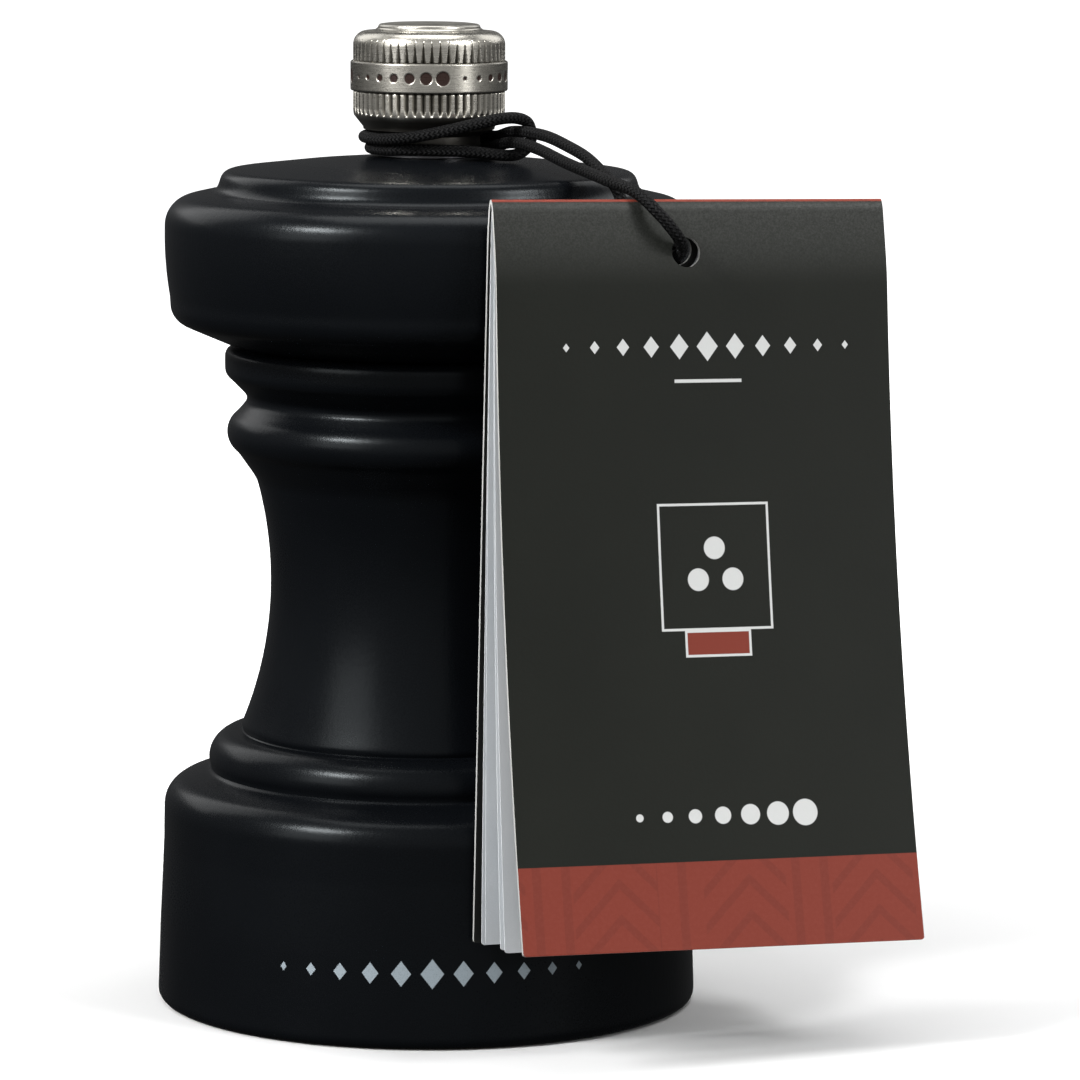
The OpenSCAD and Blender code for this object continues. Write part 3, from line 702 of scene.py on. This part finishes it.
def sheet_piece(name, section, thick, width, twist, materials, hole_d):
    """A folded sheet with a round hole through both panels.

    The section runs from the back panel's edge over the fold to the front panel's edge. The
    materials are for its outer face, its inner face and its cut edges."""
    line = np.array(section, float)
    along = distance_along(line)
    fold, end = along[np.argmax(line[:, 1])], along[-1]
    station = np.append(np.arange(0, end - 0.05, 0.1), end)
    raw = resampled(line, along, station)
    loose = np.clip((np.abs(station - fold) - 1.5) / 2.5, 0, 1)[:, None]
    shape = eased(raw, 8) * (1 - loose) + eased(raw, 288) * loose
    slope = np.gradient(shape, axis=0)
    slope /= np.linalg.norm(slope, axis=1, keepdims=True)
    normal = np.stack([-slope[:, 1], slope[:, 0]], axis=1)

    def points(side, x, at):
        share = np.clip(np.abs(at - fold) / TAG_LENGTH, 0, 1)
        face = shape - normal * thick * side
        out, up = (np.interp(at, station, face[:, k]) for k in (0, 1))
        lean = twist * x / width * share**1.3 * (at > fold)
        sag = SHEET_BOW * np.cos(math.pi * x / width) * np.sin(math.pi * share) * np.sign(at - fold)
        near = SHEET_ROUND - np.minimum(SHEET_ROUND, np.minimum(at, end - at))
        cut = SHEET_ROUND - np.sqrt(SHEET_ROUND**2 - near**2)
        return np.stack([x * (1 - 2 * cut / width), -(out + lean + sag), up], axis=1)

    centres = [station[panel_side][np.argmin(np.abs(shape[panel_side, 1] - HOLE_Z))]
               for panel_side in (station < fold, station > fold)]
    behind, before = centres
    half, margin = HOLE_PATCH, 0.8
    step = 2 * half / HOLE_STEPS
    rows = np.r_[run(0, margin, 0.1), run(margin, behind - half, 1),
                 run(behind - half, behind + half, step), run(behind + half, fold, 0.1),
                 run(fold, before - half, 0.1), run(before - half, before + half, step),
                 run(before + half, end - margin, 1), run(end - margin, end, 0.1), end]
    columns = np.r_[run(-width / 2, HOLE_X - half, 1), run(HOLE_X - half, HOLE_X + half, step),
                    run(HOLE_X + half, width / 2, 1), width / 2]
    cols = len(columns)
    coords = [(x, at) for at in rows for x in columns]
    faces, patch = [], set()
    first_col = int(np.argmin(np.abs(columns - (HOLE_X - half))))
    for centre in centres:
        top = int(np.argmin(np.abs(rows - (centre - half))))
        patch |= {(top + i, first_col + j) for i in range(HOLE_STEPS) for j in range(HOLE_STEPS)}
        ring = [i * cols + j for i, j in hole_loop(top, first_col)]
        outer = np.array([coords[v] for v in ring]) - (HOLE_X, centre)
        rim = outer / np.linalg.norm(outer, axis=1, keepdims=True) * hole_d / 2
        for k in range(1, HOLE_RINGS + 1):
            share = k / HOLE_RINGS
            new = list(range(len(coords), len(coords) + len(ring)))
            coords += [tuple(p) for p in outer * (1 - share) + rim * share + (HOLE_X, centre)]
            for a in range(len(ring)):
                b = (a + 1) % len(ring)
                faces.append([ring[a], new[a], new[b], ring[b]])
            ring = new
    for i in range(len(rows) - 1):
        for j in range(cols - 1):
            if (i, j) not in patch:
                a = i * cols + j
                faces.append([a, a + cols, a + cols + 1, a + 1])
    count = len(coords)
    edges = {(a, b) for f in faces for a, b in zip(f, f[1:] + f[:1])}
    walls = [[b, a, a + count, b + count] for a, b in sorted(edges) if (b, a) not in edges]
    kinds = [0] * len(faces) + [1] * len(faces) + [2] * len(walls)
    faces += [[v + count for v in reversed(f)] for f in faces] + walls
    xy = np.array(coords)
    place = np.array(tag_matrix())
    flat = np.vstack([points(side, xy[:, 0], xy[:, 1]) for side in (0, 1)])
    verts = flat @ place[:3, :3].T + place[:3, 3]
    used = sorted({v for f in faces for v in f})
    new = {v: k for k, v in enumerate(used)}
    kept = [[new[v] for v in f] for f in faces]
    piece = add_mesh(name, verts[used], kept, materials, kinds, sharp=50)
    both = np.vstack([xy, xy]) - (0, fold)
    set_sheet(piece, both[[v for f in faces for v in f]])
    return piece


def panel(out_top, out_edge, length, skip, steps=40):
    """A panel's section from near the fold to its edge, which stands out_edge away from the back.

    skip is how many points are left out at the fold, where the caller draws the bend itself."""
    drop = math.sqrt(length**2 - (out_edge - out_top) ** 2)
    ts = [i / steps for i in range(1 + skip, steps + 1)]
    return [(out_top + (out_edge - out_top) * (0.45 * t + 0.55 * t**2), -drop * t) for t in ts]


def make_tag(card, inside, edge, leaf):
    front = [(-0.12, -0.15), (0.2, -0.8), (0.5, -2), (0.8, -3.5), (1.05, -4.5),
             *panel(1, 14.2, TAG_LENGTH, 3)]
    back = [(-0.68, -0.15), (-0.9, -0.9), (-1.05, -2), *panel(-1.15, -0.85, TAG_LENGTH, 1)]
    cover = sheet_piece("tag_cover_card", [*reversed(back), (-0.4, 0), *front], COVER_T, TAG_WIDTH,
                        2.4, [card, inside, edge], HOLE_D)
    finish_piece(cover, "tag", "cover_card", "tag_cover")
    for name, length, out_front, out_back, apex in (
        ("tag_leaf_outer", TAG_LENGTH - 0.1, 8.2, 1.2, (-0.33, -0.75)),
        ("tag_leaf_inner", TAG_LENGTH - 0.3, 7.0, 2.3, (-0.31, -1.1)),
    ):
        x, z = apex
        front = [(x + 0.12, z - 0.4), (0.05, -2.6), *panel(0.3, out_front, length, 2)]
        back = [(x - 0.12, z - 0.4), (-0.58, -2.6), *panel(-0.6, out_back, length, 2)]
        piece = sheet_piece(name, [*reversed(back), apex, *front], LEAF_T, TAG_WIDTH - 0.3, 1.0,
                            [leaf] * 3, LEAF_HOLE_D)
        finish_piece(piece, "tag", "leaf_paper", "tag_leaves")


# ---- turned wood: outlines as (radius, height), in millimetres ----

WAIST_R, WAIST_Z, WAIST_CURVE = 16.67, 44.9, 40.5
LACQUER_REACH = 0.22


def body_outline():
    waist = [(WAIST_R + WAIST_CURVE * (1 - math.cos(math.asin((z - WAIST_Z) / WAIST_CURVE))), z)
             for z in np.linspace(29.3, 55.6, 60)]
    return [*arc(27.8, 0.9, 0.9, -90, 0), (28.4, 9.4), (28.05, 17), *arc(25.05, 20.85, 2.95, 0, 76),
            (23.2, 24.55), (22.95, 24.8), *arc(20.4, 25.9, 2.85, -5, 78), (19.5, 28.75), *waist,
            (18.5, 56.3), *arc(18.8, 60.75, 2.48, -56, 56), *arc(20, 64.3, 0.85, 210, 145),
            *arc(20.3, 67.45, 1.2, -60, 0), *arc(20.7, 68.9, 0.8, 0, 90)]


def head_outline():
    crown = [(27.82 - 0.55 * ((81.5 - z) / 6.5) ** 2, z) for z in np.linspace(75, 82.4, 20)]
    return [(20.3, 69.95), (21.5, 70.3), *arc(24.9, 74.3, 2.35, -68, -8), *crown,
            *arc(24.62, 82.55, 3.2, 5, 72), (23.6, 86.05), *arc(23.3, 87.2, 1.2, 262, 190),
            *arc(20.75, 87.15, 1.26, 5, 84), (14, 89.2), (6.2, 89.85)]


def make_turnings(paint, wood):
    socket = [(14, 61.5), (12, 61.5), (12, 28.5), (14.9, 28.5), (14.9, 8), (21.3, 8), (21.3, 0),
              (27.8, 0)]
    outside = softened(body_outline(), reach=LACQUER_REACH)
    body = lathe("turned_body", [(outside, 0), ([(14, 69.7)], 0), (socket, 1)], [paint, wood])
    finish_piece(body, "mill_body", "painted_wood", "body")
    spigot = [(11.5, 66), (11.5, 62.5), (13.52, 62.5), (13.92, 62.9), (13.92, 69.95)]
    outside = softened(head_outline(), reach=LACQUER_REACH)
    bore = [([(4, 89.85)], 0), ([(4, 66)], 1)]
    head = lathe("turned_head", [(spigot, 1), (outside, 0), *bore], [paint, wood])
    finish_piece(head, "mill_head", "painted_wood", "head")


# ---- knob ----

FLUTES, FLUTE_STEPS = 56, 16
KNOB_R, BAND_R = 8.0, 8.28
FLUTE_DEPTH, MARK_DEPTH = 0.36, 0.09
# Where the upper flutes begin to taper, and where they end in points
FLUTE_TAPER, FLUTE_TIP = 100.0, 102.25
BAND_LOW, BAND_HIGH = 96.9, 99.8
# Grooves at the band's edges, which are painted dark as shade
BAND_GROOVES = ((96.7, 96.9), (99.8, 100.0))
MARK_Z = 98.35


def plain(*points):
    """Outline rows without flutes, from (height, radius) pairs."""
    return [(z, r, 0, 0) for z, r in points]


def band_edge(height, start, end):
    """The band's rounded edge, between two angles in degrees."""
    angles = [math.radians(a) for a in np.linspace(start, end, 6)]
    return plain(*((height + 0.2 * math.sin(a), BAND_R - 0.2 + 0.2 * math.cos(a)) for a in angles))


def knob_outline():
    """Rows from under the neck to the cap's seat: height, radius, and flute depth and width as
    shares of their full size."""
    rows = plain((92.7, 4.1), (90.4, 4.1), (90.4, 5.2), (90.45, 5.35), (90.6, 5.4), (92.1, 5.4),
                 (92.3, 5.7), (92.6, 6.6), (92.75, 6.9))
    for z in np.linspace(93.0, 94.2, 6):
        rows.append((z, 6.95 + 0.95 * (z - 93.0) / 1.2, 0, 1))
    for z in np.linspace(94.3, 95.0, 8):
        t = (z - 94.3) / 0.7
        swell = math.sin(t * math.pi / 2)
        rows.append((z, 7.93 + 0.07 * swell, swell, 0.4 + 0.6 * t))
    rows += [(z, KNOB_R, 1, 1) for z in np.linspace(95.1, 96.6, 8)]
    rows += [(96.68, KNOB_R - 0.02, 1, 1), (96.74, KNOB_R - 0.1, 0.9, 1),
             (96.76, KNOB_R - 0.06, 0.3, 1)]
    rows += band_edge(96.98, -80, 0)
    rows += plain(*((z, BAND_R) for z in np.linspace(97.05, 99.65, 44)))
    rows += band_edge(99.72, 0, 80)
    rows += [(99.94, KNOB_R - 0.06, 0.3, 1), (99.96, KNOB_R - 0.1, 0.9, 1)]
    shoulder = [(z, KNOB_R) for z in np.linspace(FLUTE_TAPER, 101.5, 16)]
    shoulder += [(z, r) for r, z in arc(KNOB_R - 1.45, 101.6, 1.45, 0, 80, 26)]
    for z, r in shoulder:
        left = max(0.0, (FLUTE_TIP - z) / (FLUTE_TIP - FLUTE_TAPER))
        rows.append((z, r, left**0.6, left))
    rows += plain((103.08, 6.2), (103.15, 5.7), (103.3, 5.5), (103.36, 5.45), (102.4, 5.45),
                  (102.4, 3.2))
    return rows


def band_marks():
    """Dots round the band, in four runs that grow from fine to coarse: (angle, radius)."""
    return [(math.radians(-152 + 90 * part + 12.2 * i), r)
            for part in range(4) for i, r in enumerate((0.24, 0.32, 0.41, 0.5, 0.6, 0.7, 0.8))]


def mark_depth(marks, angles, z):
    """How deep the marks cut at each angle on one row, as a share of their full depth."""
    cut = np.zeros(len(angles))
    for a, r in marks:
        across = BAND_R * np.angle(np.exp(1j * (angles - a)))
        far = np.hypot(across, z - MARK_Z)
        cut = np.maximum(cut, np.clip((r - far) / 0.12, 0, 1))
    return cut


def make_knob(material, cap_material):
    count = FLUTES * FLUTE_STEPS
    angles = np.arange(count) * 2 * math.pi / count
    from_valley = np.abs((np.arange(count) % FLUTE_STEPS) / FLUTE_STEPS - 0.5)
    rows = knob_outline()
    verts, painted_shade, ink = [], [], []
    marks = band_marks()
    for z, r, deep, wide in rows:
        # a V between flat ribs, which narrows to a point where its width runs out
        valley = deep * np.clip(1 - from_valley / max(0.31 * wide, 0.01), 0, 1) ** 0.85
        on_band = BAND_LOW < z < BAND_HIGH and r > BAND_R - 0.01
        cut = mark_depth(marks, angles, z) if on_band else np.zeros(count)
        reach = r - FLUTE_DEPTH * valley - MARK_DEPTH * cut
        verts.extend(zip(reach * np.cos(angles), reach * np.sin(angles), np.full(count, z)))
        # Painted shade: dark in the flute valleys by their depth, and on the neck and cone under
        # the flutes as the black head's painted reflection and shade
        shade_row = np.maximum(0.9 * valley, 0.9 * np.clip((94.5 - z) / 0.7, 0, 1))
        # The band's edge grooves get painted shade as well
        if any(low < z < high for low, high in BAND_GROOVES):
            shade_row = np.full(count, 0.7)
        painted_shade.extend(shade_row)
        ink.extend(cut)
    faces = []
    for i in range(len(rows) - 1):
        for k in range(count):
            m = (k + 1) % count
            faces.append((i * count + k, i * count + m, (i + 1) * count + m, (i + 1) * count + k))
    knob = add_mesh("knob_shell", verts, faces, [material], sharp=48)
    for name, values in (("painted_shade", painted_shade), ("ink", ink)):
        layer = knob.data.attributes.new(name, "FLOAT", "POINT")
        layer.data.foreach_set("value", np.array(values, np.float32))
    finish_piece(knob, "knob", "nickel", "knob_body")
    cap = [(0, 102.4), (5.38, 102.4), (5.38, 103.35), *arc(5.05, 103.42, 0.35, 0, 72, 10),
           (4.3, 103.86), (0, 104)]
    piece = lathe("knob_disc", [(softened(cap, 0.12, 0.1), 0)], [cap_material], closed=False)
    finish_piece(piece, "knob", "nickel_cap", "knob_cap")


# ---- spring ----

SPRING_WIRE, SPRING_TURNS, SPRING_DEAD_TURNS = 0.66, 4.5, 0.8


def make_spring(material):
    """A coil with a dead turn at each end."""
    low, high = (np.array(corner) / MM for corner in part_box("spring"))
    wire = SPRING_WIRE / 2
    dead = SPRING_DEAD_TURNS
    turns = np.linspace(0, SPRING_TURNS, 420)
    rise = np.clip((turns - dead) / (SPRING_TURNS - 2 * dead), 0, 1)
    ends = np.clip(turns / dead, 0, 1) + np.clip((turns - SPRING_TURNS + dead) / dead, 0, 1)
    span = high[2] - low[2] - 4 * wire
    z = low[2] + wire + 0.5 * wire * ends + 0.5 * wire + span * rise
    r = (high[0] - low[0]) / 2 - wire
    angle = 2 * math.pi * turns
    line = np.stack([r * np.cos(angle), r * np.sin(angle), z], axis=1)
    piece = tube("spring_coil", line, wire, 10, material)
    finish_piece(piece, "carrier", "steel", "spring")
    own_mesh(piece)


# ---- carried-over CAD nodes: shapes unchanged, new materials ----

DRESSED = {
    "brass": ("knob_nut",),
    "steel": ("drive_plate", "drive_plate_screws", "rotor_washer", "housing_screws"),
    "aluminium": ("shaft",),
    # knob_washer is given this dark steel so that the neck under the knob reads dark: painted
    # shade.
    "hard": ("rotor", "stator", "circlip", "knob_washer"),
    "white": ("spindle_bush",),
    "black": ("mechanism_housing", "stator_retainer"),
}


def dress_nodes(materials):
    for name, nodes in DRESSED.items():
        for node in nodes:
            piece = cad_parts[node]
            piece.data.materials.clear()
            piece.data.materials.append(materials[name])


# ---- stage and lights ----


FLOOR_DARK, FLOOR_LIGHT = rgb(0.7, 0.7, 0.7), rgb(0.72, 0.72, 0.72)
# The floor's own glow grows from nothing to full between these distances from the middle
GLOW_FROM, GLOW_TO = 42, 260
FLOOR_R, WALL_ROUND, WALL_TOP = 2500, 700, 4000
FLOOR_GAP = 0.02


def make_stage():
    """A pale floor that rises into a bright round wall. Only the camera sees it."""
    n = Nodes("pale_floor")
    place, x, y = n.position()[:3]
    far = n.math("SQRT", n.add(n.mul(x, x), n.mul(y, y)))
    n.surface(Base_Color=n.mix(n.noise(place, 0.01, 2), FLOOR_DARK, FLOOR_LIGHT), Roughness=0.9,
              Specular_IOR_Level=0.0, Emission_Color=rgb(1, 1, 1),
              Emission_Strength=n.span(far, GLOW_FROM, GLOW_TO))
    wall = [(0, 0), (FLOOR_R, 0), *arc(FLOOR_R, WALL_ROUND, WALL_ROUND, -90, 0),
            (FLOOR_R + WALL_ROUND, WALL_TOP)]
    floor = lathe("floor", [(wall, 0)], [n.material], segments=96, closed=False, sharp=60)
    floor.location.z = cad_low[2] - FLOOR_GAP * MM
    for ray in ("diffuse", "glossy", "transmission", "shadow"):
        setattr(floor, "visible_" + ray, False)


LIGHT_AIM = Vector((0.0, 0.0, 0.055))
# Name, place and size in metres, and power in watts
LIGHTS = (
    ("key_left", (-0.50, -0.34, 0.58), (0.22, 0.12), 6.5),
    ("key_right", (0.52, -0.34, 0.5), (0.22, 0.14), 3.0),
    ("back_left", (-0.5, 0.5, 0.5), (0.5, 0.5), 1.2),
    ("back_right", (0.5, 0.5, 0.5), (0.5, 0.5), 1.2),
    ("top", (0.0, 0.1, 0.9), (0.7, 0.5), 4.0),
    ("soft_left", (-0.60, -0.46, 0.30), (0.4, 0.34), 1.3),
    ("soft_right", (0.66, -0.44, 0.2), (0.2, 0.4), 0.6),
)
# Axis, the range that the direction runs over, and the world's share of light at each end
WORLD_RAMPS = (("Y", -0.9, 0.6, 0.5, 0.1), ("Z", -0.35, 0.15, 0.3, 1.0))


def area_light(name, place, size, power):
    data = bpy.data.lights.new(name, "AREA")
    data.shape = "RECTANGLE"
    data.size, data.size_y = size
    data.energy = power
    light = bpy.data.objects.new(name, data)
    light.location = place
    light.rotation_euler = (LIGHT_AIM - Vector(place)).to_track_quat("-Z", "Y").to_euler()
    bpy.context.scene.collection.objects.link(light)


def make_world():
    """Soft light from the front and above; dark behind and below, as black flags would leave it."""
    world = bpy.data.worlds.new("studio")
    bpy.context.scene.world = world
    world.use_nodes = True
    tree = world.node_tree
    split = tree.nodes.new("ShaderNodeSeparateXYZ")
    tree.links.new(tree.nodes.new("ShaderNodeTexCoord").outputs["Generated"], split.inputs[0])
    shares = []
    for axis, *ends in WORLD_RAMPS:
        share = tree.nodes.new("ShaderNodeMapRange")
        tree.links.new(split.outputs[axis], share.inputs[0])
        for i, value in enumerate(ends):
            share.inputs[i + 1].default_value = value
        shares.append(share)
    both = tree.nodes.new("ShaderNodeMath")
    both.operation = "MULTIPLY"
    for i, share in enumerate(shares):
        tree.links.new(share.outputs[0], both.inputs[i])
    background = tree.nodes["Background"]
    background.inputs[0].default_value = (1, 1, 1, 1)
    tree.links.new(both.outputs[0], background.inputs[1])


def make_lights():
    make_world()
    for light in LIGHTS:
        area_light(*light)


def make_materials():
    metals = {
        "nickel": make_metal("satin_nickel", (0.44, 0.42, 0.37), (0.64, 0.615, 0.555), 0.27,
                             (0.6, 0.6, 9.0), shade_and_ink=True),
        "cap": make_metal("satin_nickel_disc", (0.36, 0.345, 0.31), (0.52, 0.505, 0.46), 0.34,
                          (3.0, 3.0, 3.0)),
        "brass": make_metal("brass", (0.5, 0.34, 0.12), (0.72, 0.52, 0.22), 0.35, (0.5, 0.5, 7.0)),
        "steel": make_metal("zinc_steel", (0.45, 0.46, 0.48), (0.62, 0.63, 0.65), 0.33,
                            (4.0, 4.0, 4.0)),
        "aluminium": make_metal("drawn_aluminium", (0.55, 0.56, 0.58), (0.74, 0.75, 0.77), 0.3,
                                (6.0, 6.0, 0.25)),
        "hard": make_metal("hardened_steel", (0.16, 0.16, 0.17), (0.3, 0.3, 0.31), 0.42,
                           (2.5, 2.5, 2.5), bump=0.2),
    }
    return metals | {
        "paint": make_paint(),
        "wood": make_wood(),
        "white": make_plastic("white_plastic", (0.72, 0.72, 0.69), (0.8, 0.8, 0.77), 0.42),
        "black": make_plastic("black_plastic", (0.012, 0.012, 0.013), (0.022, 0.022, 0.024), 0.45),
        "card": make_card("printed_card"),
        "inside": make_paper("card_inside", (0.008, 0.0085, 0.0078), (0.012, 0.0125, 0.0115)),
        "edge": make_paper("card_edge", (0.5, 0.5, 0.48), (0.62, 0.62, 0.6)),
        "leaf": make_paper("leaf_paper", (0.80, 0.835, 0.865), (0.87, 0.895, 0.915)),
        "cord": make_cord_material(),
    }


m = make_materials()
make_cord(m["cord"])
make_tag(m["card"], m["inside"], m["edge"], m["leaf"])
make_turnings(m["paint"], m["wood"])
make_knob(m["nickel"], m["cap"])
make_spring(m["steel"])
dress_nodes(m)
make_stage()
make_lights()
bpy.context.scene.view_settings.view_transform = "Standard"
